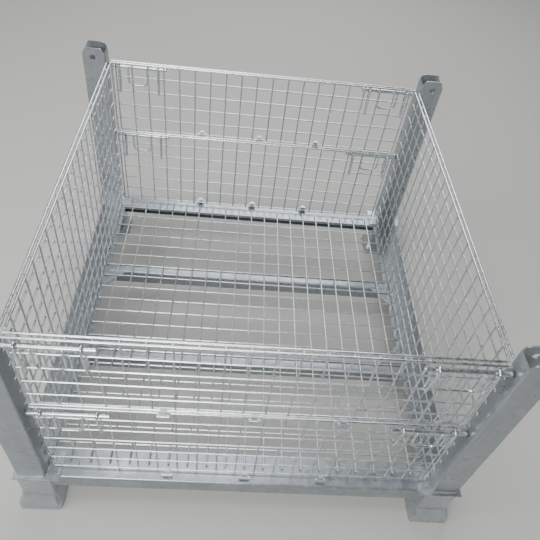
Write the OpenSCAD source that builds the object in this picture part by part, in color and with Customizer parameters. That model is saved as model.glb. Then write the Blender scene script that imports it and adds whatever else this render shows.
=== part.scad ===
// Stackable mesh container: a folded-sheet base on four flared feet, four channel posts,
// fixed mesh sides, and a front and a rear gate that each fold in two halves and are held
// by slide bolts. X runs across the gates, Y from front to rear and Z up, and the origin
// is on the ground under the centre. Shapes are drawn for the right rear of the container;
// the left and front ones are their mirror images. Lengths are in millimetres.

/* [Mesh] */
// Spacing of the mesh wires
pitch = 50; // [49:0.5:52]
// Diameter of the mesh wires
wire_d = 4.5; // [3.5:0.25:4.75]
// Diameter of the rim, edge, guide and handle rods
rod_d = 6; // [5.5:0.25:6]
// Distance from the centre to a gate's upright wires
gate_y = 528.5; // [524:0.5:530]

/* [Posts] */
// Depth of a post's flanges along X
post_deep = 70; // [64:1:76]
// Width of a post along Y
post_wide = 50; // [48:1:52]
// Height of the post tops
post_top = 760; // [755:1:790]
// Diameter of the lifting holes in the post flanges
lift_hole_d = 17; // [14:0.5:20]

/* [Base] */
// Thickness of posts, beams, plates and feet
sheet = 4; // [3:0.5:4]
// Height of the beam tops above the ground
beam_top = 153.5; // [152:0.5:154]
// Height of the beams
beam_tall = 55.5; // [45:0.5:60]
// Width of the cross members
cross_wide = 38; // [30:1:50]

/* [Feet] */
// Length of a foot's neck along X
neck_long = 84; // [82:1:86]
// Length of a foot's neck along Y
neck_wide = 60; // [60:1:64]
// Height at which a foot's skirt starts to flare
skirt_tall = 44; // [40:1:50]
// How far the skirt flares out along X
flare_x = 15; // [10:1:20]
// How far the skirt flares out along Y
flare_y = 19; // [10:1:24]

/* [Latches and hinges] */
// Diameter of the slide bolts
bolt_d = 12; // [10:0.5:12]
// How far a handle hangs below its bolt
handle_drop = 65; // [50:1:75]
// Diameter of the hinge pins
pin_d = 6; // [5:0.5:7]

/* [Hidden] */
$fn = 48;
over = 1;
gap = 0.3;
bite = 0.3;
wire_r = wire_d / 2;
rod_r = rod_d / 2;
layer = wire_d - bite;

// Mesh grid: upright wires stand midway between multiples of the pitch
columns = 20;
first_level = 165.5;
function level(j) = first_level + j * pitch;
rim_z = level(11);

// Posts
web_x = columns * pitch / 2;
post_x = web_x + post_deep / 2;
post_y = gate_y + 8.5;
post_low = beam_top + sheet;
lift_x = web_x + 39;
lift_z = post_top - 30;
inner_slope = [18, 35];
outer_slope = [10, 20];
slope_steps = 8;

// Gates, seen from their mesh planes outward
level_y = gate_y + layer;
face_y = level_y + wire_r;
rim_out_y = gate_y + wire_r + gap + rod_r;
rim_in_y = gate_y - wire_r - gap - rod_r;
frame_x = web_x - 10;
edge_x = web_x - 13;
gate_low = first_level - 3.5;
edge_past_rim = 2;
fold_y = gate_y + 16.5;
fold_z = level(6) + 1.5;
fold_gap = 5;
lower_rim_z = fold_z - fold_gap;
upper_foot_z = fold_z + fold_gap;

// Sides
side_x = web_x - gap - wire_r - layer;
side_half = post_y - 6;
side_rim_out = side_x + wire_r + gap + rod_r;
side_rim_in = side_x - wire_r - gap - rod_r;
rim_out_half = post_y - post_wide / 2 - gap;
rim_in_half = rim_in_y - 8;

// Latches
bolt_y = gate_y + 10.4;
bolt_under_rim = 18;
upper_bolt_z = rim_z - bolt_under_rim;
lower_bolt_z = lower_rim_z - bolt_under_rim;
bolt_tail = web_x - 184;
bolt_nose = web_x - 3.5;
bolt_hole_d = bolt_d + 4;
handle_y = gate_y + 14.5;
handle_x = [web_x - 120, web_x - 60];
handle_bend = 14;
guide_x = [web_x - 156, web_x - 34];
guide_back_y = level_y - wire_r - gap - rod_r;
guide_bend = 11.4;
guide_lean = 8;
guide_drop = 86;

// Hinges
hinge_x = [-4 * pitch, 0, 4 * pitch];
base_axis_y = gate_y + 17.5;
base_axis_z = beam_top + 9.5;
eye_r = 6.5;
pin_gap = 0.05;
knuckle_half = 6.5;
lug_in = 7;
lug_out = 11;
head_r = 5;
head_h = 2.5;
lower_arm = 15;
upper_arm = 14;

// Base
beam_low = beam_top - beam_tall;
beam_face_y = post_y + 23;
beam_inner_y = beam_face_y - 80;
beam_face_x = web_x + post_deep;
beam_inner_x = web_x - 20;
lower_flange = 40;
neck_x = post_x - neck_long / 2;
neck_y = post_y - neck_wide / 2;
plate_from = [neck_x - 26, neck_y - 15];
plate_lip = 5;
plate_to = [neck_x + neck_long + plate_lip, neck_y + neck_wide + plate_lip];
cross_y = 174;
cross_tall = 50;
gusset_x = 55;
gusset_y = 65;
seat_z = skirt_tall - sheet;
foot_corner = 6;
bell_z = 20;
bell_share = 0.9;
slab = 0.01;

// Floor mesh
row_z = beam_top + gap + wire_r;
column_z = row_z + layer;
rows = 20;
last_row = 485;
first_row = last_row - (rows - 1) * pitch;
row_half = web_x - 11;
column_half = gate_y - 10.5;

// ---- Shared shapes ----

// Copies drawn for the rear or the right, turned to the front or the left
module to_front() {
  mirror([0, 1, 0]) children();
}

module to_left() {
  mirror([1, 0, 0]) children();
}

// A round bar along X
module bar_x(from_x, to_x, y, z, d) {
  translate([from_x, y, z]) rotate([0, 90, 0]) cylinder(d = d, h = to_x - from_x);
}

// Welded mesh that stands in the XZ plane, with its level wires on the +Y side
module mesh_panel(bottom, top, levels, half) {
  for (i = [0 : columns - 1])
    translate([(i + 0.5) * pitch - web_x, 0, bottom]) cylinder(d = wire_d, h = top - bottom);
  for (z = levels)
    bar_x(-half, half, layer, z, wire_d);
}

// An eye round a hinge axis at the origin, with a square arm that reaches a weld
module hinge_eye(from_x, to_x, arm_from, arm_to) {
  difference() {
    union() {
      bar_x(from_x, to_x, 0, 0, 2 * eye_r);
      translate([from_x, arm_from[0], arm_from[1]])
        cube([to_x - from_x, arm_to[0] - arm_from[0], arm_to[1] - arm_from[1]]);
    }
    bar_x(from_x - over, to_x + over, 0, 0, pin_d + 2 * pin_gap);
  }
}

// Two plates of a hinge at every hinge position
module hinge_lugs(y, z, arm_from, arm_to) {
  for (x = hinge_x, side = [-1, 1])
    translate([x + side * (lug_in + lug_out) / 2, y, z])
      hinge_eye(-(lug_out - lug_in) / 2, (lug_out - lug_in) / 2, arm_from, arm_to);
}

// The knuckle that turns between the two plates
module hinge_knuckles(y, z, arm_from, arm_to) {
  for (x = hinge_x)
    translate([x, y, z]) hinge_eye(-knuckle_half, knuckle_half, arm_from, arm_to);
}

// A headed pin through each hinge
module hinge_pins(y, z) {
  for (x = hinge_x) {
    bar_x(x - lug_out - over, x + lug_out + over, y, z, pin_d);
    bar_x(x - lug_out - head_h, x - lug_out, y, z, 2 * head_r);
    bar_x(x + lug_out, x + lug_out + head_h, y, z, 2 * head_r);
  }
}

// ---- Base ----

// Channel under a gate, cut round the ends of the side beams
module gate_beam() {
  color("#8f979c")
    difference() {
      union() {
        translate([-neck_x, beam_inner_y, beam_top - sheet])
          cube([2 * neck_x, beam_face_y - beam_inner_y, sheet]);
        translate([-neck_x, beam_face_y - sheet, beam_low]) cube([2 * neck_x, sheet, beam_tall]);
        translate([-neck_x, beam_face_y - lower_flange, beam_low])
          cube([2 * neck_x, lower_flange, sheet]);
      }
      for (side = [-1, 1])
        translate([side * (beam_inner_x + neck_x) / 2, (beam_inner_y + neck_y) / 2, beam_top])
          cube([neck_x - beam_inner_x, neck_y - beam_inner_y, 2 * beam_tall], center = true);
    }
}

// Channel under a side wall
module side_beam() {
  color("#8f979c") {
    translate([beam_inner_x, -neck_y, beam_top - sheet])
      cube([beam_face_x - beam_inner_x, 2 * neck_y, sheet]);
    translate([beam_face_x - sheet, -neck_y, beam_low]) cube([sheet, 2 * neck_y, beam_tall]);
    translate([beam_face_x - lower_flange, -neck_y, beam_low])
      cube([lower_flange, 2 * neck_y, sheet]);
  }
}

// Channel, open below, that carries the floor mesh
module cross_member() {
  color("#8f979c")
    translate([-beam_inner_x, cross_y - cross_wide / 2, beam_top - cross_tall])
      difference() {
        cube([2 * beam_inner_x, cross_wide, cross_tall]);
        translate([-over, sheet, -over])
          cube([2 * (beam_inner_x + over), cross_wide - 2 * sheet, cross_tall - sheet + over]);
      }
}

// Flat triangles that brace the cross members to the side beams
module gussets() {
  corner_y = cross_y - cross_wide / 2;
  color("#9aa2a7")
    for (side = [0, 1], end = [0, 1])
      mirror([side, 0, 0]) mirror([0, end, 0]) translate([0, 0, beam_top - sheet])
        linear_extrude(sheet)
          polygon([
            [beam_inner_x, corner_y],
            [beam_inner_x - gusset_x, corner_y],
            [beam_inner_x, corner_y - gusset_y]
          ]);
}

// Plates between the feet and the posts
module foot_plates() {
  color("#c3cacd")
    for (side = [0, 1], end = [0, 1])
      mirror([side, 0, 0]) mirror([0, end, 0]) translate([plate_from[0], plate_from[1], beam_top])
        cube([plate_to[0] - plate_from[0], plate_to[1] - plate_from[1], sheet]);
}

// Rows along X with columns along Y on top of them
module floor_mesh() {
  color("#b4bcc0") {
    for (j = [0 : rows - 1])
      bar_x(-row_half, row_half, first_row + j * pitch, row_z, wire_d);
    for (i = [1 : columns - 1])
      translate([i * pitch - web_x, -column_half, column_z]) rotate([-90, 0, 0])
        cylinder(d = wire_d, h = 2 * column_half);
  }
}

// Slab with round corners at a height, wider by a share of the flare and drawn in by inset
module skirt_slab(z, share, inset) {
  long = neck_long + 2 * (flare_x * share - inset);
  wide = neck_wide + 2 * (flare_y * share - inset);
  translate([0, 0, z]) linear_extrude(slab)
    offset(r = foot_corner) square([long - 2 * foot_corner, wide - 2 * foot_corner], center = true);
}

// Bell of the foot: it flares fast below the neck and then drops almost straight
module skirt(inset) {
  hull() {
    skirt_slab(skirt_tall - slab, 0, inset);
    skirt_slab(bell_z, bell_share, inset);
  }
  hull() {
    skirt_slab(bell_z, bell_share, inset);
    skirt_slab(inset > 0 ? -over : 0, 1, inset);
  }
}

// Hollow foot: a square neck under the corner and a bell that drops over a post
module foot() {
  color("#a3abb0") translate([post_x, post_y, 0]) {
    difference() {
      skirt(0);
      difference() {
        skirt(sheet);
        translate([-neck_long, -neck_long, seat_z]) cube([2 * neck_long, 2 * neck_long, sheet + over]);
      }
    }
    difference() {
      translate([0, 0, skirt_tall]) linear_extrude(beam_top - skirt_tall)
        offset(r = foot_corner)
          square([neck_long - 2 * foot_corner, neck_wide - 2 * foot_corner], center = true);
      translate([sheet - neck_long / 2, sheet - neck_wide / 2, skirt_tall])
        cube([neck_long - 2 * sheet, neck_wide - 2 * sheet, beam_top]);
    }
  }
}

// ---- Posts ----

// Side view of a post: a curved slope over the web and a short one at the open edge
module post_outline() {
  polygon(concat(
    [[web_x, post_low], [web_x + post_deep, post_low]],
    [[web_x + post_deep, post_top - outer_slope[1]], [web_x + post_deep - outer_slope[0], post_top]],
    [for (i = [0 : slope_steps])
      [web_x + inner_slope[0] * (1 - sin(90 * i / slope_steps)),
       post_top - inner_slope[1] * (1 - cos(90 * i / slope_steps))]]
  ));
}

// Channel post with its web to the inside, bolt holes in the web and a lifting hole
module post() {
  color("#a9b1b6")
    difference() {
      translate([0, post_y + post_wide / 2, 0]) rotate([90, 0, 0])
        linear_extrude(post_wide) post_outline();
      translate([web_x + sheet, post_y + sheet - post_wide / 2, 0])
        cube([post_deep, post_wide - 2 * sheet, post_top + over]);
      for (z = [lower_bolt_z, upper_bolt_z])
        bar_x(web_x - over, web_x + sheet + over, bolt_y, z, bolt_hole_d);
      translate([lift_x, post_y - post_wide, lift_z]) rotate([-90, 0, 0])
        cylinder(d = lift_hole_d, h = 2 * post_wide);
    }
}

// ---- Side walls ----

// Fixed mesh wall: a gate's mesh turned to face the side
module side_mesh() {
  color("#b4bcc0") translate([side_x, 0, 0]) rotate([0, 0, -90])
    mesh_panel(beam_top, rim_z + rod_r, [for (j = [0 : 10]) level(j)], side_half);
}

// Two rods that hold the tops of the upright wires between them
module side_rim() {
  color("#c9d0d3") for (rod = [[side_rim_in, rim_in_half], [side_rim_out, rim_out_half]])
    translate([rod[0], -rod[1], rim_z]) rotate([-90, 0, 0]) cylinder(d = rod_d, h = 2 * rod[1]);
}

// ---- Gates ----

// Mesh of one gate half, up to the middle of its rim rods and a little over
module gate_mesh(bottom, rim, levels) {
  color("#b4bcc0") translate([0, gate_y, 0])
    mesh_panel(bottom, rim + rod_r, levels, edge_x - rod_r - gap);
}

// Rim rods on both faces of the mesh, joined by a rod down each edge
module gate_frame(bottom, rim) {
  color("#c9d0d3") {
    for (y = [rim_in_y, rim_out_y])
      bar_x(-frame_x, frame_x, y, rim, rod_d);
    for (side = [-1, 1])
      translate([side * edge_x, gate_y, bottom])
        cylinder(d = rod_d, h = rim + edge_past_rim - bottom);
  }
}

// Hairpins bent over the slide bolts
module guides(bolt_z) {
  color("#b4bcc0") for (side = [-1, 1], x = guide_x)
    translate([side * x, guide_back_y + guide_bend, bolt_z]) {
      rotate([90, 0, 90]) rotate_extrude(angle = 180) translate([guide_bend, 0]) circle(d = rod_d);
      translate([0, -guide_bend, -guide_drop]) cylinder(d = rod_d, h = guide_drop);
      translate([0, guide_bend, 0]) rotate([-guide_lean, 0, 0]) translate([0, 0, -guide_drop])
        cylinder(d = rod_d, h = guide_drop + rod_r);
    }
}

// Slide bolt with a hanging handle bent from rod
module slide_bolt(bolt_z) {
  leg = handle_drop - handle_bend;
  color("#c9d0d3") {
    bar_x(bolt_tail, bolt_nose, bolt_y, bolt_z, bolt_d);
    bar_x(handle_x[0] + handle_bend, handle_x[1] - handle_bend, handle_y, bolt_z - handle_drop, rod_d);
    for (x = handle_x)
      translate([x, handle_y, bolt_z - leg]) cylinder(d = rod_d, h = leg);
    for (bend = [[handle_x[0] + handle_bend, 180], [handle_x[1] - handle_bend, 270]])
      translate([bend[0], handle_y, bolt_z - leg]) rotate([90, 0, 0]) rotate([0, 0, bend[1]])
        rotate_extrude(angle = 90) translate([handle_bend, 0]) circle(d = rod_d);
  }
}

module lower_mesh() {
  gate_mesh(gate_low, lower_rim_z, [for (j = [0 : 5]) level(j)]);
}

module upper_mesh() {
  gate_mesh(upper_foot_z - wire_r, rim_z, concat([upper_foot_z], [for (j = [7 : 10]) level(j)]));
}

module lower_frame() {
  gate_frame(gate_low, lower_rim_z);
}

module upper_frame() {
  gate_frame(upper_foot_z - wire_r, rim_z);
}

// ---- Hinges ----

module base_hinge_lugs() {
  color("#a3abb0")
    hinge_lugs(base_axis_y, base_axis_z, [-eye_r, beam_top - base_axis_z], [eye_r, 0]);
}

module base_hinge_pins() {
  color("#c9d0d3") hinge_pins(base_axis_y, base_axis_z);
}

module lower_knuckles() {
  color("#a3abb0")
    hinge_knuckles(base_axis_y, base_axis_z, [face_y + gap - base_axis_y, 0], [0, lower_arm]);
}

module fold_hinge_lugs() {
  color("#a3abb0")
    hinge_lugs(fold_y, fold_z, [rim_out_y + rod_r + gap - fold_y, -lower_arm], [0, 0]);
}

module fold_hinge_pins() {
  color("#c9d0d3") hinge_pins(fold_y, fold_z);
}

module upper_knuckles() {
  color("#a3abb0") hinge_knuckles(fold_y, fold_z, [face_y + gap - fold_y, 0], [0, upper_arm]);
}

// ---- Assembly ----

to_front() gate_beam();  // front_beam
gate_beam();  // rear_beam
to_left() side_beam();  // left_beam
side_beam();  // right_beam
to_front() cross_member();  // front_cross_member
cross_member();  // rear_cross_member
gussets();
foot_plates();
floor_mesh();
to_front() to_left() foot();  // front_left_foot
to_front() foot();  // front_right_foot
to_left() foot();  // rear_left_foot
foot();  // rear_right_foot
to_front() to_left() post();  // front_left_post
to_front() post();  // front_right_post
to_left() post();  // rear_left_post
post();  // rear_right_post
to_left() side_mesh();  // left_side_mesh
side_mesh();  // right_side_mesh
to_left() side_rim();  // left_side_rim
side_rim();  // right_side_rim
to_front() base_hinge_lugs();  // front_base_hinge_lugs
to_front() base_hinge_pins();  // front_base_hinge_pins
base_hinge_lugs();  // rear_base_hinge_lugs
base_hinge_pins();  // rear_base_hinge_pins
to_front() lower_mesh();  // front_lower_mesh
to_front() lower_frame();  // front_lower_frame
to_front() guides(lower_bolt_z);  // front_lower_guides
to_front() lower_knuckles();  // front_lower_knuckles
to_front() fold_hinge_lugs();  // front_fold_hinge_lugs
to_front() fold_hinge_pins();  // front_fold_hinge_pins
to_front() upper_mesh();  // front_upper_mesh
to_front() upper_frame();  // front_upper_frame
to_front() guides(upper_bolt_z);  // front_upper_guides
to_front() upper_knuckles();  // front_upper_knuckles
lower_mesh();  // rear_lower_mesh
lower_frame();  // rear_lower_frame
guides(lower_bolt_z);  // rear_lower_guides
lower_knuckles();  // rear_lower_knuckles
fold_hinge_lugs();  // rear_fold_hinge_lugs
fold_hinge_pins();  // rear_fold_hinge_pins
upper_mesh();  // rear_upper_mesh
upper_frame();  // rear_upper_frame
guides(upper_bolt_z);  // rear_upper_guides
upper_knuckles();  // rear_upper_knuckles
to_front() to_left() slide_bolt(lower_bolt_z);  // front_lower_left_bolt
to_front() slide_bolt(lower_bolt_z);  // front_lower_right_bolt
to_front() to_left() slide_bolt(upper_bolt_z);  // front_upper_left_bolt
to_front() slide_bolt(upper_bolt_z);  // front_upper_right_bolt
to_left() slide_bolt(lower_bolt_z);  // rear_lower_left_bolt
slide_bolt(lower_bolt_z);  // rear_lower_right_bolt
to_left() slide_bolt(upper_bolt_z);  // rear_upper_left_bolt
slide_bolt(upper_bolt_z);  // rear_upper_right_bolt
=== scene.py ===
# %% [markdown]
# # A galvanised mesh container
# The real object is a stackable warehouse container: folded steel sheet for the base and the posts,
# welded mesh for the walls, and bent rod for the latches, all dipped in molten zinc after welding.
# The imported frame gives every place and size. This lesson rebuilds what the eye sees: round wires with
# zinc gathered in their welds, sheet with soft folds, weld beads, and the zinc coat itself.

# %% Load the frame
import math
import random

import bmesh
import bpy
from mathutils import Matrix, Vector


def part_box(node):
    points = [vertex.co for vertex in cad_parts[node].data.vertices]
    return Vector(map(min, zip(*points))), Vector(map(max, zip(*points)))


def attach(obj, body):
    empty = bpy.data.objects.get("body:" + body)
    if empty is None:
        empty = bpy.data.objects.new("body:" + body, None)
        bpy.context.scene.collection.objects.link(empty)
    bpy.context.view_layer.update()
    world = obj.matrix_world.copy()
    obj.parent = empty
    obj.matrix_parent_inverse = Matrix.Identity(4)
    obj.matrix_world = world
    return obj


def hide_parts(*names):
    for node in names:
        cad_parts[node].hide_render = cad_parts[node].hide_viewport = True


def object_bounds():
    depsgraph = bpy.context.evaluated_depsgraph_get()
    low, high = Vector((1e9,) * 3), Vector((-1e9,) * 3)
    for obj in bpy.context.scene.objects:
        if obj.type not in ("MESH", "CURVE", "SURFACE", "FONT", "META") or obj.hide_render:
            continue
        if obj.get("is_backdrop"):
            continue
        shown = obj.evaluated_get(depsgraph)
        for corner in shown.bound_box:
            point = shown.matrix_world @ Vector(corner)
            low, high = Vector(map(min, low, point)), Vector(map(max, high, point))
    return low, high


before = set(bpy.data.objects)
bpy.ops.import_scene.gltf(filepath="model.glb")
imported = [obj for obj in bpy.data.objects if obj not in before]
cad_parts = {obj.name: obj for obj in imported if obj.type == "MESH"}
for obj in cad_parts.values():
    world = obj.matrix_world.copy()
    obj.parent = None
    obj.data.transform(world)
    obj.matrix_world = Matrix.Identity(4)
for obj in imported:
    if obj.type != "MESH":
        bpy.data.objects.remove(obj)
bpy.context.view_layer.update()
MM = 0.001
chance = random.Random(7)

# %% [markdown]
# ## Reading sizes from the frame
# Every size could be typed in again, but then two files would have to agree. Reading the boxes of a few
# parts keeps the looks tied to the design: the mesh node's depth, for example, gives both wire layers.

# %% Sizes of the container
mesh_low, mesh_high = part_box("rear_upper_mesh")
lower_low, lower_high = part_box("rear_lower_mesh")
side_low, side_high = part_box("right_side_mesh")
floor_low, floor_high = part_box("floor_mesh")
post_low, post_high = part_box("rear_right_post")
foot_low, foot_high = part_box("rear_right_foot")
beam_low, beam_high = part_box("rear_beam")
side_beam_low, side_beam_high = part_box("right_beam")
cross_low, cross_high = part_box("rear_cross_member")

pitch = 50 * MM
columns = 20
wire_r = 2.25 * MM
rod_r = 3 * MM
sheet = 4 * MM
fold_r = 6.5 * MM
web_x = post_low.x
beam_top = beam_high.z
first_level = beam_top + 12 * MM
wall_rows, lower_gate_rows = 11, 6
levels = [first_level + j * pitch for j in range(wall_rows)]
lower_levels = levels[:lower_gate_rows]
upper_levels = [mesh_low.z + wire_r] + levels[lower_gate_rows + 1 :]
uprights = [(i + 0.5) * pitch - columns * pitch / 2 for i in range(columns)]
print("mesh wires", len(uprights), "upright and", len(levels), "level on each side wall")

# %% [markdown]
# ## Round bar along a path
# Wire, rim rod, hairpin and handle are all round bar. A curve object with a bevel would do, but a small mesh
# function gives control of the cut ends, which were sheared and then rounded off by the zinc. The ring
# of points is carried along the path without twisting, so the bar never pinches in a bend.

# %% Round bar
def round_bar(bm, path, radius, sides=12, chamfer=0.3):
    points = [Vector(p) for p in path]
    cut = radius * chamfer
    first = (points[1] - points[0]).normalized()
    last = (points[-1] - points[-2]).normalized()
    spine = [points[0], points[0] + first * cut, *points[1:-1], points[-1] - last * cut, points[-1]]
    radii = [radius - cut, *[radius] * (len(spine) - 2), radius - cut]
    normal = first.orthogonal().normalized()
    rings = []
    for i, (place, r) in enumerate(zip(spine, radii)):
        along = (spine[min(i + 1, len(spine) - 1)] - spine[max(i - 1, 0)]).normalized()
        normal = (normal - along * normal.dot(along)).normalized()
        across = along.cross(normal)
        turns = [2 * math.pi * k / sides for k in range(sides)]
        rings.append([bm.verts.new(place + (normal * math.cos(t) + across * math.sin(t)) * r) for t in turns])
    for near, far in zip(rings, rings[1:]):
        for k in range(sides):
            bm.faces.new((near[k], near[k - sides + 1], far[k - sides + 1], far[k]))
    bm.faces.new(reversed(rings[0]))
    bm.faces.new(rings[-1])


def arc(centre, start, end, turns=8):
    """Points of a quarter turn round the centre, from the spoke start to the spoke end."""
    angles = [math.pi / 2 * k / turns for k in range(turns + 1)]
    return [centre + start * math.cos(t) + end * math.sin(t) for t in angles]


# %% [markdown]
# ## Zinc and weld metal
# Where two wires cross, a resistance weld sinks them together and the molten zinc fills the corner. A small
# flattened ball in each crossing catches light the way the real nugget does. Longer seams get a bead with
# ripples, which is what an arc weld leaves.

# %% Weld nuggets, beads and drips
def nugget(bm, place, size):
    matrix = Matrix.LocRotScale(place, None, Vector(size))
    bmesh.ops.create_icosphere(bm, subdivisions=1, radius=1, matrix=matrix)


def weld_bead(bm, start, end, radius, ripple=3.2 * MM):
    """A bead of overlapping ripples from start to end."""
    start, end = Vector(start), Vector(end)
    count = max(2, round((end - start).length / ripple))
    for i in range(count + 1):
        size = radius * chance.uniform(0.86, 1.0)
        nugget(bm, start.lerp(end, i / count), (size, size, size))


# %% [markdown]
# ## Folded sheet
# Beams and posts are pressed from 4 mm sheet, so their long edges are folds with a radius and not sharp
# corners. The section is drawn as the outer face's corners; each corner becomes two arcs about one centre,
# one sheet thickness apart. Extruding that outline gives the whole length at once.

# %% Section of a folded sheet
def folded_outline(corners, radius=fold_r, steps=5):
    corners = [Vector(c) for c in corners]
    way = [(b - a).normalized() for a, b in zip(corners, corners[1:])]
    outer, inner = [corners[0]], [corners[0] + way[1] * sheet]
    for i, corner in enumerate(corners[1:-1]):
        into, out = way[i], way[i + 1]
        centre = corner + (out - into) * radius
        for k in range(steps + 1):
            turn = math.pi / 2 * k / steps
            spoke = into * math.sin(turn) - out * math.cos(turn)
            outer.append(centre + spoke * radius)
            inner.append(centre + spoke * (radius - sheet))
    outer.append(corners[-1])
    inner.append(corners[-1] - way[-2] * sheet)
    return outer + inner[::-1]


def extrude(bm, outline, place, start, end):
    """Sweeps a closed outline straight from start to end; place puts (u, v, along) in space."""
    near = [bm.verts.new(place(p[0], p[1], start)) for p in outline]
    far = [bm.verts.new(place(p[0], p[1], end)) for p in outline]
    bm.faces.new(near)
    bm.faces.new(reversed(far))
    for k in range(len(outline)):
        bm.faces.new((near[k - 1], far[k - 1], far[k], near[k]))
    bmesh.ops.recalc_face_normals(bm, faces=bm.faces)


# %% [markdown]
# ## Colour and nodes
# Colours are easiest to judge as sRGB hex values, but shaders work in linear light, so one function converts
# them. One more function adds any shader node with its settings and links, which keeps each material short
# enough to read as a recipe.

# %% Colour and node helpers
def linear(hex_colour):
    channels = [int(hex_colour[i : i + 2], 16) / 255 for i in (1, 3, 5)]
    return (*[c / 12.92 if c <= 0.04045 else ((c + 0.055) / 1.055) ** 2.4 for c in channels], 1.0)


def add(tree, kind, sockets=None, **settings):
    node = tree.nodes.new(kind)
    for name, value in settings.items():
        setattr(node, name, value)
    for name, value in (sockets or {}).items():
        if isinstance(value, bpy.types.NodeSocket):
            tree.links.new(value, node.inputs[name])
        else:
            node.inputs[name].default_value = value
    return node


# %% [markdown]
# ## Hot-dip galvanised steel
# Zinc freezes on the steel in flat crystals, the spangle, each tilted a little differently, so neighbouring
# grains differ in brightness and gloss. Weather then dulls it in soft clouds, and rain leaves faint
# upright runs. Voronoi cells give the grains, a wide noise the clouds and a stretched noise the runs.
# New zinc is all metal. In the open it grows a thin grey carbonate skin that isn't, and pure metal also goes
# black inside a deep channel, where light has to bounce many times. So sheet that has the skin is given a
# metallic value of 0.65 to 0.9, and rod and wire keep 1. The IOR stays at its default.

# %% Galvanised material
def galvanised(name, bright, dull, stain, grain_mm, gloss, relief_mm, metal):
    material = bpy.data.materials.new(name)
    material.use_nodes = True
    tree = material.node_tree
    surface = tree.nodes["Principled BSDF"]
    place = add(tree, "ShaderNodeTexCoord").outputs["Object"]
    grain = add(
        tree,
        "ShaderNodeTexVoronoi",
        {"Vector": place, "Scale": 1 / (grain_mm * MM), "Randomness": 1.0},
    ).outputs["Color"]
    grain_value = add(tree, "ShaderNodeSeparateColor", {"Color": grain}).outputs["Red"]
    cloud_size = {"Scale": 1 / (110 * MM), "Detail": 4.0, "Roughness": 0.6}
    cloud = add(tree, "ShaderNodeTexNoise", {"Vector": place, **cloud_size}).outputs["Fac"]
    run_width, run_length = 14 * MM, 220 * MM
    stretched = add(
        tree, "ShaderNodeMapping", {"Vector": place, "Scale": (1 / run_width, 1 / run_width, 1 / run_length)}
    )
    runs = add(
        tree, "ShaderNodeTexNoise", {"Vector": stretched.outputs["Vector"], "Scale": 1.0, "Detail": 3.0}
    ).outputs["Fac"]
    cloud_mask = add(
        tree, "ShaderNodeMapRange", {"Value": cloud, "From Min": 0.36, "From Max": 0.72, "To Max": 0.7}
    ).outputs["Result"]
    run_mask = add(
        tree, "ShaderNodeMapRange", {"Value": runs, "From Min": 0.5, "From Max": 0.78, "To Max": 0.4}
    ).outputs["Result"]
    # Spangle, clouds and runs are laid over the dull grey in turn. Output 2 of a Mix node is its colour
    colour = linear(dull)
    for mask, over in ((grain_value, bright), (cloud_mask, dull), (run_mask, stain)):
        layers = {"Factor": mask, "A": colour, "B": linear(over)}
        colour = add(tree, "ShaderNodeMix", layers, data_type="RGBA").outputs[2]
    grain_change = 0.04
    rough = add(
        tree, "ShaderNodeMath", {0: grain_value, 1: grain_change, 2: gloss[0]}, operation="MULTIPLY_ADD"
    ).outputs["Value"]
    dulled = add(
        tree, "ShaderNodeMath", {0: cloud_mask, 1: gloss[1] - gloss[0], 2: rough}, operation="MULTIPLY_ADD"
    ).outputs["Value"]
    pits = add(
        tree, "ShaderNodeTexNoise", {"Vector": place, "Scale": 1 / (relief_mm * MM), "Detail": 3.0}
    ).outputs["Fac"]
    bump = add(
        tree, "ShaderNodeBump", {"Height": pits, "Strength": 0.12, "Distance": 0.25 * MM}
    ).outputs["Normal"]
    surface.inputs["Metallic"].default_value = metal
    tree.links.new(colour, surface.inputs["Base Color"])
    tree.links.new(dulled, surface.inputs["Roughness"])
    tree.links.new(bump, surface.inputs["Normal"])
    return material


# Name, bright grain, dull grain, stain, grain in mm, roughness range, relief in mm, metallic
zinc_wire = galvanised("galvanised_wire", "#DEE2E5", "#BBC1C5", "#969BA0", 6, (0.27, 0.38), 2.4, 1.0)
zinc_rod = galvanised("galvanised_rod", "#E8ECEE", "#C8CDD1", "#A2A7AB", 8, (0.22, 0.32), 3, 1.0)
zinc_sheet = galvanised("galvanised_folded_sheet", "#A4AAAE", "#8F9599", "#7B8185", 14, (0.27, 0.38), 6, 0.75)
zinc_foot = galvanised("galvanised_pressed_foot", "#BABFC3", "#AEB3B7", "#9CA2A6", 16, (0.22, 0.30), 10, 0.85)
zinc_post = galvanised("galvanised_post_sheet", "#9CA2A6", "#8F9599", "#80868A", 18, (0.25, 0.34), 9, 0.68)
# The brighter plate zinc is the hinge lugs' own tone, and on the foot plates it is a painted highlight
plate_zinc_and_highlight = galvanised("galvanised_plate_and_painted_highlight", "#C3C9CC", "#A8AEB2", "#8C9194", 8, (0.28, 0.40), 4, 0.9)
plated_pin = galvanised("zinc_plated_pin", "#D4D6D4", "#B4B8B3", "#979790", 3, (0.20, 0.34), 1.5, 1.0)
weld_metal = galvanised("galvanised_weld_bead", "#A9AFB2", "#888E92", "#6E7376", 3, (0.34, 0.52), 1.8, 0.8)
print("materials", len(bpy.data.materials))


# %% [markdown]
# ## Putting a piece on a body
# Every piece is made in its place, hung on the body that carries it and given its finish, and the plain nodes
# it stands for are hidden.
# Faces are smooth, and edges over 35 degrees stay crisp.

# %% Finish a piece
def make_piece(name, bm, body, material, stands_for=()):
    mesh = bpy.data.meshes.new(name)
    bm.to_mesh(mesh)
    bm.free()
    mesh.polygons.foreach_set("use_smooth", [True] * len(mesh.polygons))
    mesh.set_sharp_from_angle(angle=math.radians(35))
    mesh.materials.append(material)
    piece = bpy.data.objects.new(name, mesh)
    bpy.context.scene.collection.objects.link(piece)
    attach(piece, body)
    if stands_for:
        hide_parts(*stands_for)
    return piece


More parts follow.
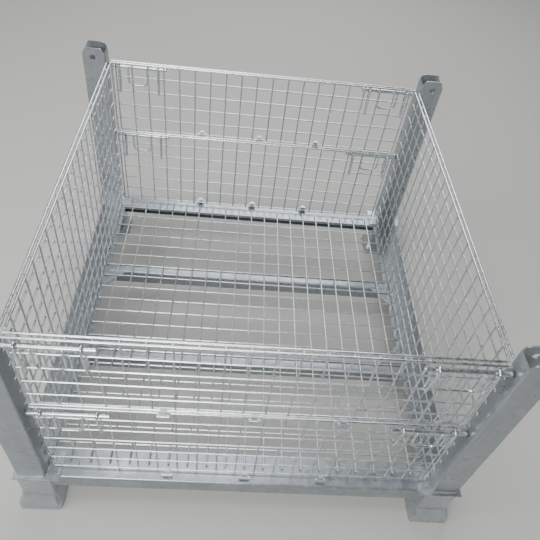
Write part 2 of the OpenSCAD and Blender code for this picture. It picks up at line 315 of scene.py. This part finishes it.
# %% [markdown]
# ## Welded mesh
# A mesh panel is two layers of straight wire. Uprights lie on the inside and level wires on the outside, and
# each crossing is welded. Building every wire, rather than a mesh-shaped texture, is what makes the
# walls right from every side, because the two layers cover and shade each other.

# %% Mesh panel
def welded_mesh(name, node, body, upright_wires, level_wires, place, layer):
    """Wires are (position, from, to); place puts (across, up, depth) in space."""
    bm = bmesh.new()
    for a, low, high in upright_wires:
        round_bar(bm, [place(a, low, 0), place(a, high, 0)], wire_r, sides=10)
    for b, low, high in level_wires:
        round_bar(bm, [place(low, b, layer), place(high, b, layer)], wire_r, sides=10)
    flat = place(0, 0, 1) - place(0, 0, 0)
    size = Vector([1.05 * wire_r if abs(flat[i]) < 0.5 else 0.62 * wire_r for i in range(3)])
    for a, low, high in upright_wires:
        for b, start, end in level_wires:
            if low <= b <= high and start <= a <= end:
                nugget(bm, place(a, b, layer / 2), size * chance.uniform(1.0, 1.35))
    make_piece(name, bm, body, zinc_wire, [node])


gate_y = mesh_low.y + wire_r
gate_layer = mesh_high.y - wire_r - gate_y
for gate, sign in (("front", -1), ("rear", 1)):
    for half, low, high, rows in (
        ("lower", lower_low, lower_high, lower_levels),
        ("upper", mesh_low, mesh_high, upper_levels),
    ):
        welded_mesh(
            f"{gate}_{half}_wires",
            f"{gate}_{half}_mesh",
            f"{gate}_{half}_gate",
            [(a, low.z, high.z) for a in uprights],
            [(b, low.x, high.x) for b in rows],
            lambda a, b, d, sign=sign: Vector((a, sign * (gate_y + d), b)),
            gate_layer,
        )

side_x = side_low.x + wire_r
for side, sign in (("left", -1), ("right", 1)):
    welded_mesh(
        f"{side}_side_wires",
        f"{side}_side_mesh",
        "base",
        [(a, side_low.z, side_high.z) for a in uprights],
        [(b, side_low.y, side_high.y) for b in levels],
        lambda a, b, d, sign=sign: Vector((sign * (side_x + d), a, b)),
        side_high.x - wire_r - side_x,
    )

column_z = floor_high.z - wire_r
last_row = 485 * MM
row_y = [last_row - j * pitch for j in range(columns)]
column_x = [i * pitch - columns * pitch / 2 for i in range(1, columns)]
welded_mesh(
    "floor_wires",
    "floor_mesh",
    "base",
    [(a, floor_low.y, floor_high.y) for a in column_x],
    [(b, floor_low.x, floor_high.x) for b in row_y],
    lambda a, b, d: Vector((a, b, column_z - d)),
    column_z - floor_low.z - wire_r,
)
print("mesh panels made", len(row_y), "floor rows")

# %% [markdown]
# ## Rims and edge rods
# The tops of the uprights are gripped between two 6 mm rods, one on each face of the mesh, which is what
# makes the rim look like a double bright line with dark gaps. Zinc bridges the rods at the wire ends.

# %% Double rims
bridge_across, bridge_along, bridge_up = 4.2 * MM, 2.6 * MM, 2.0 * MM
past_rim = 2 * MM
post_gap = 0.3 * MM


def rim(name, node, body, rods, joints_at, size):
    bm = bmesh.new()
    for path in rods:
        round_bar(bm, path, rod_r, sides=14)
    for spot in joints_at:
        nugget(bm, spot, Vector(size) * chance.uniform(0.85, 1.1))
    make_piece(name, bm, body, zinc_rod, [node])


for gate, sign in (("front", -1), ("rear", 1)):
    for half in ("lower", "upper"):
        low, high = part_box(f"rear_{half}_frame")
        top = high.z - rod_r
        rods = [[(low.x, sign * y, top), (high.x, sign * y, top)] for y in (low.y + rod_r, high.y - rod_r)]
        edge = high.x - rod_r
        edge_rods = [
            [(side * edge, sign * gate_y, low.z), (side * edge, sign * gate_y, top + past_rim)]
            for side in (-1, 1)
        ]
        spots = [Vector((a, sign * gate_y, top)) for a in uprights]
        rim(
            f"{gate}_{half}_rim_and_edges",
            f"{gate}_{half}_frame",
            f"{gate}_{half}_gate",
            rods + edge_rods,
            spots,
            (bridge_along, bridge_across, bridge_up),
        )

rim_low, rim_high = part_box("right_side_rim")
for side, sign in (("left", -1), ("right", 1)):
    inner_half, outer_half = rim_high.y, post_low.y - post_gap
    top = rim_high.z - rod_r
    rods = [
        [(sign * x, -half, top), (sign * x, half, top)]
        for x, half in ((rim_low.x + rod_r, inner_half), (rim_high.x - rod_r, outer_half))
    ]
    spots = [Vector((sign * side_x, a, top)) for a in uprights]
    size = (bridge_across, bridge_along, bridge_up)
    rim(f"{side}_side_double_rim", f"{side}_side_rim", "base", rods, spots, size)
print("rims made, each bridged at", len(uprights), "uprights")

# %% [markdown]
# ## Folded beams and cross members
# The beams are channels with a wide top flange that carries the floor mesh. The gate beams run past the side
# beams, so their ends are notched, and a boolean cut is the plain way to notch an extruded section. What is
# alike at both ends or all corners is made once and mirrored, with its faces turned the right way out again.

# %% Cutting and mirroring
def carve(bm, shapes, operation="DIFFERENCE"):
    """bm with other closed shapes taken out of it, or kept only inside them, as a new bmesh."""
    holders = []
    for shape in [bm, *shapes]:
        mesh = bpy.data.meshes.new("carving")
        shape.to_mesh(mesh)
        shape.free()
        holders.append(bpy.data.objects.new("carving", mesh))
        bpy.context.scene.collection.objects.link(holders[-1])
    for tool in holders[1:]:
        cut = holders[0].modifiers.new("cut", "BOOLEAN")
        cut.object = tool
        cut.operation = operation
        cut.solver = "EXACT"
    result = bpy.data.meshes.new_from_object(holders[0].evaluated_get(bpy.context.evaluated_depsgraph_get()))
    carved = bmesh.new()
    carved.from_mesh(result)
    for holder in holders:
        mesh = holder.data
        bpy.data.objects.remove(holder)
        bpy.data.meshes.remove(mesh)
    bpy.data.meshes.remove(result)
    return carved


def box_shape(low, high):
    bm = bmesh.new()
    low, high = Vector(low), Vector(high)
    bmesh.ops.create_cube(bm, size=1, matrix=Matrix.LocRotScale((low + high) / 2, None, high - low))
    return bm


def turned_copy(bm, side, end):
    """A copy for another corner: side and end are 1, or -1 to mirror across X or Y."""
    other = bm.copy()
    bmesh.ops.scale(other, vec=(side, end, 1), verts=other.verts)
    if side * end < 0:
        bmesh.ops.reverse_faces(other, faces=other.faces)
    return other


# %% Beams
low_flange = 40 * MM
low, high = beam_low, beam_high
gate_section = folded_outline(
    [(low.y, high.z), (high.y, high.z), (high.y, low.z), (high.y - low_flange, low.z)]
)
for gate, sign in (("front", -1), ("rear", 1)):
    bm = bmesh.new()
    extrude(bm, gate_section, lambda u, v, w, sign=sign: Vector((w, sign * u, v)), low.x, high.x)
    notch = box_shape(
        (side_beam_low.x, low.y - sheet, low.z - sheet), (high.x + sheet, side_beam_high.y, high.z + sheet)
    )
    notches = [turned_copy(notch, side, sign) for side in (-1, 1)]
    notch.free()
    make_piece(f"{gate}_beam_channel", carve(bm, notches), "base", zinc_sheet, [f"{gate}_beam"])

low, high = side_beam_low, side_beam_high
side_section = folded_outline(
    [(low.x, high.z), (high.x, high.z), (high.x, low.z), (high.x - low_flange, low.z)]
)
for side, sign in (("left", -1), ("right", 1)):
    bm = bmesh.new()
    extrude(bm, side_section, lambda u, v, w, sign=sign: Vector((sign * u, w, v)), low.y, high.y)
    make_piece(f"{side}_beam_channel", bm, "base", zinc_sheet, [f"{side}_beam"])

low, high = cross_low, cross_high
cross_section = folded_outline([(low.y, low.z), (low.y, high.z), (high.y, high.z), (high.y, low.z)])
for end, sign in (("front", -1), ("rear", 1)):
    bm = bmesh.new()
    extrude(bm, cross_section, lambda u, v, w, sign=sign: Vector((w, sign * u, v)), low.x, high.x)
    make_piece(
        f"{end}_cross_channel", bm, "base", zinc_sheet, [f"{end}_cross_member"]
    )
print("beams and cross members made")

# %% [markdown]
# ## Posts
# A post is the same folded channel, stood upright with its web towards the goods. Its top is sheared to a
# slope so that the foot of the next container slides over it, and a lifting hole goes through both
# flanges. The section is extruded and then kept only inside its side view.

# %% Posts
def cylinder_shape(start, end, radius):
    bm = bmesh.new()
    round_bar(bm, [start, end], radius, sides=40, chamfer=0.001)
    return bm


def break_edges(piece, edge_mm, over_degrees):
    bevel = piece.modifiers.new("broken_edges", "BEVEL")
    bevel.width = edge_mm * MM
    bevel.segments = 2
    bevel.limit_method = "ANGLE"
    bevel.angle_limit = math.radians(over_degrees)
    return bevel


corners = [("front_left", -1, -1), ("front_right", 1, -1), ("rear_left", -1, 1), ("rear_right", 1, 1)]
low, high = post_low, post_high
bm = bmesh.new()
post_section = folded_outline([(high.x, low.y), (low.x, low.y), (low.x, high.y), (high.x, high.y)])
extrude(bm, post_section, lambda u, v, w: Vector((u, v, w)), low.z, high.z)
slope_steps = 10
inner_run, inner_drop = 18 * MM, 35 * MM
outer_run, outer_drop = 10 * MM, 20 * MM
slope = [
    (low.x + inner_run * (1 - math.sin(t)), high.z - inner_drop * (1 - math.cos(t)))
    for t in [math.pi / 2 * k / slope_steps for k in range(slope_steps + 1)]
]
margin = 1 * MM
side_view = [
    (low.x - margin, low.z - margin),
    (high.x + margin, low.z - margin),
    (high.x + margin, high.z - outer_drop - 2 * margin),
    (high.x, high.z - outer_drop),
    (high.x - outer_run, high.z),
    *slope,
    (low.x - margin, slope[-1][1] - margin),
]
template = bmesh.new()
extrude(template, side_view, lambda u, v, w: Vector((u, w, v)), low.y - margin, high.y + margin)
post_shape = carve(bm, [template], "INTERSECT")
lift, lift_r = Vector((low.x + 39 * MM, 0, high.z - 30 * MM)), 8.5 * MM
bolt_tops = [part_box(f"rear_{half}_right_bolt")[1].z for half in ("upper", "lower")]
bolt_r, bolt_hole_r = 6 * MM, 8 * MM
bolt_y = gate_y + 10.4 * MM
through = Vector((0, post_high.y + sheet, 0))
holes = [cylinder_shape(lift, lift + through, lift_r)]
for top in bolt_tops:
    inside = Vector((low.x - sheet, bolt_y, top - bolt_r))
    holes.append(cylinder_shape(inside, inside + Vector((3 * sheet, 0, 0)), bolt_hole_r))
post_shape = carve(post_shape, holes)
for corner, side, end in corners:
    piece = make_piece(
        f"{corner}_post_channel",
        turned_copy(post_shape, side, end),
        "base",
        zinc_post,
        [f"{corner}_post"],
    )
    break_edges(piece, 0.5, 50)
print("posts", len(corners))

# %% [markdown]
# ## Feet
# Each foot is a box with a bell pressed outward, open underneath, so that it drops over the post below. It
# is a loft: rounded rectangles at a few heights, joined outside, turned over the lower edge and joined
# inside. The bell flares fast below the neck and then drops almost straight to a rolled lip.

# %% Feet
def rounded_rectangle(half_x, half_y, radius, steps=5):
    points = []
    for turn, (sx, sy) in enumerate(((1, 1), (-1, 1), (-1, -1), (1, -1))):
        for k in range(steps + 1):
            angle = math.pi / 2 * (turn + k / steps)
            x = sx * (half_x - radius) + radius * math.cos(angle)
            y = sy * (half_y - radius) + radius * math.sin(angle)
            points.append((x, y))
    return points


centre = (foot_low + foot_high) / 2
flare = Vector((15 * MM, 19 * MM))
foot_half = Vector((foot_high.x - centre.x, foot_high.y - centre.y))
neck_half = foot_half - flare
skirt_top = 44 * MM
corner_r = 7 * MM
lip = 1.2 * MM
bell = [(skirt_top + 5 * MM, 0), (skirt_top + 1 * MM, 0.02), (skirt_top - 4 * MM, 0.14), (24 * MM, 0.80)]
bell += [(20 * MM, 0.89), (15 * MM, 0.94), (4 * MM, 0.97), (2 * MM, 1.0)]
stages = [(foot_high.z, 0, 0, corner_r)]
stages += [(z, share, 0, corner_r + 5 * MM * share) for z, share in bell]
stages += [(0, 1.0, lip, corner_r + 4 * MM), (0, 1.0, sheet - lip, corner_r + 2 * MM)]
stages += [(z, share, sheet, corner_r * (0.5 + 0.5 * share)) for z, share in bell[-2:3:-1]]
stages += [(skirt_top - sheet, 0.1, sheet, corner_r / 2)]
bm = bmesh.new()
rings = []
for z, share, inset, radius in stages:
    half = neck_half + flare * share
    ring = rounded_rectangle(half.x - inset, half.y - inset, radius)
    rings.append([bm.verts.new((centre.x + x, centre.y + y, z)) for x, y in ring])
for near, far in zip(rings, rings[1:]):
    for k in range(len(near)):
        bm.faces.new((near[k - 1], near[k], far[k], far[k - 1]))
bm.faces.new(rings[0])
bm.faces.new(reversed(rings[-1]))
bmesh.ops.recalc_face_normals(bm, faces=bm.faces)
for corner, side, end in corners:
    make_piece(
        f"{corner}_foot_cup", turned_copy(bm, side, end), "base", zinc_foot, [f"{corner}_foot"]
    )
bm.free()
print("feet stand on z", round(foot_low.z, 4))

# %% [markdown]
# ## Slide bolts
# A slide bolt is a 12 mm bar with a chamfered nose and a handle bent from rod, which hangs in front of the
# mesh for the fingers. The handle's legs are welded to the front of the bar, so each gets a nugget.

# %% Slide bolts with handles
def handle_path(x_in, x_out, y, top, drop, bend):
    low_z = top - drop
    near = arc(Vector((x_in + bend, y, low_z + bend)), Vector((-bend, 0, 0)), Vector((0, 0, -bend)))
    far = arc(Vector((x_out - bend, y, low_z + bend)), Vector((0, 0, -bend)), Vector((bend, 0, 0)))
    return [Vector((x_in, y, top)), *near, *far, Vector((x_out, y, top))]


for gate, end in (("front", -1), ("rear", 1)):
    for half in ("lower", "upper"):
        for hand, side in (("left", -1), ("right", 1)):
            low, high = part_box(f"rear_{half}_right_bolt")
            z = high.z - bolt_r
            handle_y = high.y - rod_r
            bm = bmesh.new()
            round_bar(bm, [(low.x, bolt_y, z), (high.x, bolt_y, z)], bolt_r, sides=24, chamfer=0.35)
            x_in, x_out, bend = web_x - 120 * MM, web_x - 60 * MM, 14 * MM
            drop = z - low.z - rod_r
            round_bar(bm, handle_path(x_in, x_out, handle_y, z, drop, bend), rod_r)
            for x in (x_in, x_out):
                nugget(bm, Vector((x, bolt_y + 3.5 * MM, z - 5 * MM)), (4.6 * MM, 2.6 * MM, 2.6 * MM))
            shape = turned_copy(bm, side, end)
            bm.free()
            name = f"{gate}_{half}_{hand}_bolt"
            make_piece(f"{name}_bar_and_handle", shape, name, zinc_rod, [name])

# %% [markdown]
# ## Hairpin guides
# The bolts slide in hairpins of the same rod. Each is bent over the bolt, with one leg behind the level
# wires and one in front, pulled in until it meets the wires lower down. The welds are at the wires.

# %% Guides
for gate, end in (("front", -1), ("rear", 1)):
    for half, top_wire in (("lower", lower_levels), ("upper", upper_levels)):
        low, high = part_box(f"rear_{half}_guides")
        bend, drop, lean = 11.4 * MM, 86 * MM, math.radians(8)
        back_y = low.y + rod_r
        z = high.z - rod_r - bend
        pair_x = (web_x - 156 * MM, web_x - 34 * MM)
        body = f"{gate}_{half}_gate"
        bm = bmesh.new()
        for side in (-1, 1):
            for x in pair_x:
                crown = Vector((side * x, back_y + bend, z))
                over_top = arc(crown, Vector((0, -bend, 0)), Vector((0, 0, bend)))
                over_top += arc(crown, Vector((0, 0, bend)), Vector((0, bend, 0)))[1:]
                tip = over_top[-1] + Vector((0, -math.sin(lean), -math.cos(lean))) * drop
                round_bar(bm, [over_top[0] - Vector((0, 0, drop)), *over_top, tip], rod_r)
                for b in top_wire:
                    if z - drop <= b <= z - rod_r:
                        weld_place = Vector((side * x, gate_y - 0.5 * MM, b - wire_r))
                        nugget(bm, weld_place, (3.4 * MM, 2.2 * MM, 2.2 * MM))
        shape = turned_copy(bm, 1, end)
        bm.free()
        node = f"{gate}_{half}_guides"
        make_piece(f"{gate}_{half}_hairpin_guides", shape, body, zinc_rod, [node])
print("bolts and guides made")

# %% [markdown]
# ## Plates, braces and hinges
# Flat plates and drilled lugs are right as the design gives them. All they need is what a press and a file
# leave: slightly broken edges. A bevel modifier adds those without touching the design's own points.

# %% Finish the plain parts
def dress(node, material, edge_mm):
    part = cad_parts[node]
    for slot_place in part.material_slots:
        slot_place.material = material
    break_edges(part, edge_mm, 45).harden_normals = True


dress("gussets", zinc_sheet, 0.8)
# The foot plates take the brighter plate zinc: a painted highlight for their lit front edges
dress("foot_plates", plate_zinc_and_highlight, 1.0)
for gate in ("front", "rear"):
    for lugs in ("base_hinge_lugs", "fold_hinge_lugs", "lower_knuckles", "upper_knuckles"):
        dress(f"{gate}_{lugs}", plate_zinc_and_highlight, 0.5)
    for pins in ("base_hinge_pins", "fold_hinge_pins"):
        dress(f"{gate}_{pins}", plated_pin, 0.8)
print("plain parts given a finish and broken edges")

# %% [markdown]
# ## Welds of the base
# The container is one welded frame before it is dipped. Beads run round the foot of each post, along the
# gussets and where the level wires end on the post webs. They are what separates a fabrication
# from a stack of loose shapes.

# %% Weld beads
bead = 2.6 * MM
bm = bmesh.new()
low, high = post_low, post_high
floor_z = low.z + 0.5 * MM
weld_bead(bm, (low.x, low.y + 6 * MM, floor_z), (low.x, high.y - 6 * MM, floor_z), bead)
for y in (low.y, high.y):
    weld_bead(bm, (low.x + 8 * MM, y, floor_z), (high.x - 4 * MM, y, floor_z), bead)
for z in levels:
    spot = Vector((low.x - 0.6 * MM, low.y + 10 * MM, z))
    nugget(bm, spot, (2.2 * MM, 6 * MM, 3.4 * MM))
    nugget(bm, spot + Vector((0, -8 * MM, 0)), (2.2 * MM, 2.4 * MM, 3.2 * MM))
for corner, side, end in corners:
    shape = turned_copy(bm, side, end)
    make_piece(f"{corner}_post_welds", shape, "base", weld_metal)
bm.free()

bm = bmesh.new()
inner_corner = Vector((side_beam_low.x, cross_low.y, beam_top - 1 * MM))
along_beam, along_member = Vector((0, -1, 0)), Vector((-1, 0, 0))
for way, length in ((along_beam, 58 * MM), (along_member, 50 * MM)):
    weld_bead(bm, inner_corner + way * 6 * MM, inner_corner + way * length, 2.0 * MM)
for corner, side, end in corners:
    make_piece(f"{corner}_gusset_welds", turned_copy(bm, side, end), "base", weld_metal)
bm.free()
print("weld beads made at", len(corners), "corners")

# %% [markdown]
# ## Floor and light
# Metal shows its surroundings, so the light matters as much as the material. Large soft panels above and
# beside give long highlights on the wires, and are themselves hidden from the camera. The pale floor runs up
# into a round wall, so that every view has a plain backdrop and every face has something light to reflect.

# %% Stage
sweep_bm = bmesh.new()
flat_r, curve_r, wall_top, around = 4.5, 2.5, 3.6, 96
quarter = [math.pi / 2 * k / 14 for k in range(15)]
profile = [(0.01, 0.0), (1.5, 0.0), (3.0, 0.0)]
profile += [(flat_r + curve_r * math.sin(t), curve_r * (1 - math.cos(t))) for t in quarter]
profile.append((flat_r + curve_r, wall_top))
circle = [2 * math.pi * k / around for k in range(around)]
sweep_rings = [
    [sweep_bm.verts.new((r * math.cos(t), r * math.sin(t), z)) for t in circle] for r, z in profile
]
for near, far in zip(sweep_rings, sweep_rings[1:]):
    for k in range(around):
        sweep_bm.faces.new((near[k - 1], far[k - 1], far[k], near[k]))
sweep_bm.faces.new(sweep_rings[0])
floor_shape = bpy.data.meshes.new("studio_floor")
sweep_bm.to_mesh(floor_shape)
sweep_bm.free()
floor_shape.polygons.foreach_set("use_smooth", [True] * len(floor_shape.polygons))
studio_floor = bpy.data.objects.new("studio_floor", floor_shape)
bpy.context.scene.collection.objects.link(studio_floor)
paint = bpy.data.materials.new("pale_studio_floor")
paint.use_nodes = True
paint.node_tree.nodes["Principled BSDF"].inputs["Base Color"].default_value = linear("#AFAEAB")
paint.node_tree.nodes["Principled BSDF"].inputs["Roughness"].default_value = 0.85
floor_shape.materials.append(paint)
studio_floor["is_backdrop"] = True

world = bpy.data.worlds.new("soft_studio")
bpy.context.scene.world = world
world.use_nodes = True
world.node_tree.nodes["Background"].inputs["Color"].default_value = linear("#D5D9DC")
world.node_tree.nodes["Background"].inputs["Strength"].default_value = 0.2

target = Vector((0, 0, 0.35))


def aim(name, data, place):
    holder = bpy.data.objects.new(name, data)
    holder.location = place
    holder.rotation_euler = (target - Vector(place)).to_track_quat("-Z", "Y").to_euler()
    holder.visible_camera = False
    bpy.context.scene.collection.objects.link(holder)


for name, place, size, power in (
    ("overhead_panel", (-0.4, 0.0, 3.4), 1.8, 60),
    ("front_panel", (-0.7, -3.0, 2.2), 1.1, 85),
    ("left_panel", (-3.0, -0.6, 2.0), 1.2, 50),
    ("rear_panel", (0.4, 3.4, 3.4), 2.6, 120),
):
    light = bpy.data.lights.new(name, "AREA")
    light.energy = power
    light.size = size
    aim(name, light, place)
broad = bpy.data.lights.new("broad_light", "SUN")
broad.energy = 0.7
broad.angle = math.radians(40)
aim("broad_light", broad, (-1.6, -1.2, 3.4))
print("lights", len(bpy.data.lights))

# %% [markdown]
# ## Camera
# The camera stands close in front and looks down into the container. Close and steep is what makes the
# posts seem to lean outward. Heading, tilt and roll are given apart, because each can then be judged by
# eye: which way it faces, how far it looks down, and how the horizon tips.

# %% Camera
heading, tilt, roll = math.radians(6.70), math.radians(46.61), math.radians(8.90)
forward = Vector((math.sin(heading) * math.cos(tilt), math.cos(heading) * math.cos(tilt), -math.sin(tilt)))
lens = bpy.data.cameras.new("camera")
lens.lens = 37.44
lens.sensor_width = 36
camera = bpy.data.objects.new("camera", lens)
camera.rotation_mode = "QUATERNION"
camera.location = (-0.0884, -1.1492, 1.6009)
camera.rotation_quaternion = forward.to_track_quat("-Z", "Y") @ Matrix.Rotation(roll, 3, "Z").to_quaternion()
bpy.context.scene.collection.objects.link(camera)
bpy.context.scene.camera = camera
print("camera at", [round(v, 3) for v in camera.location])

# %% [markdown]
# ## The finished size
# Zinc, welds and folds must not make the container larger than it was designed. The box round everything
# made here is printed, and it should be the same as the design's own.

# %% Box round everything made here
low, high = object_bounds()
print("visual from", [round(v, 4) for v in low], "to", [round(v, 4) for v in high])
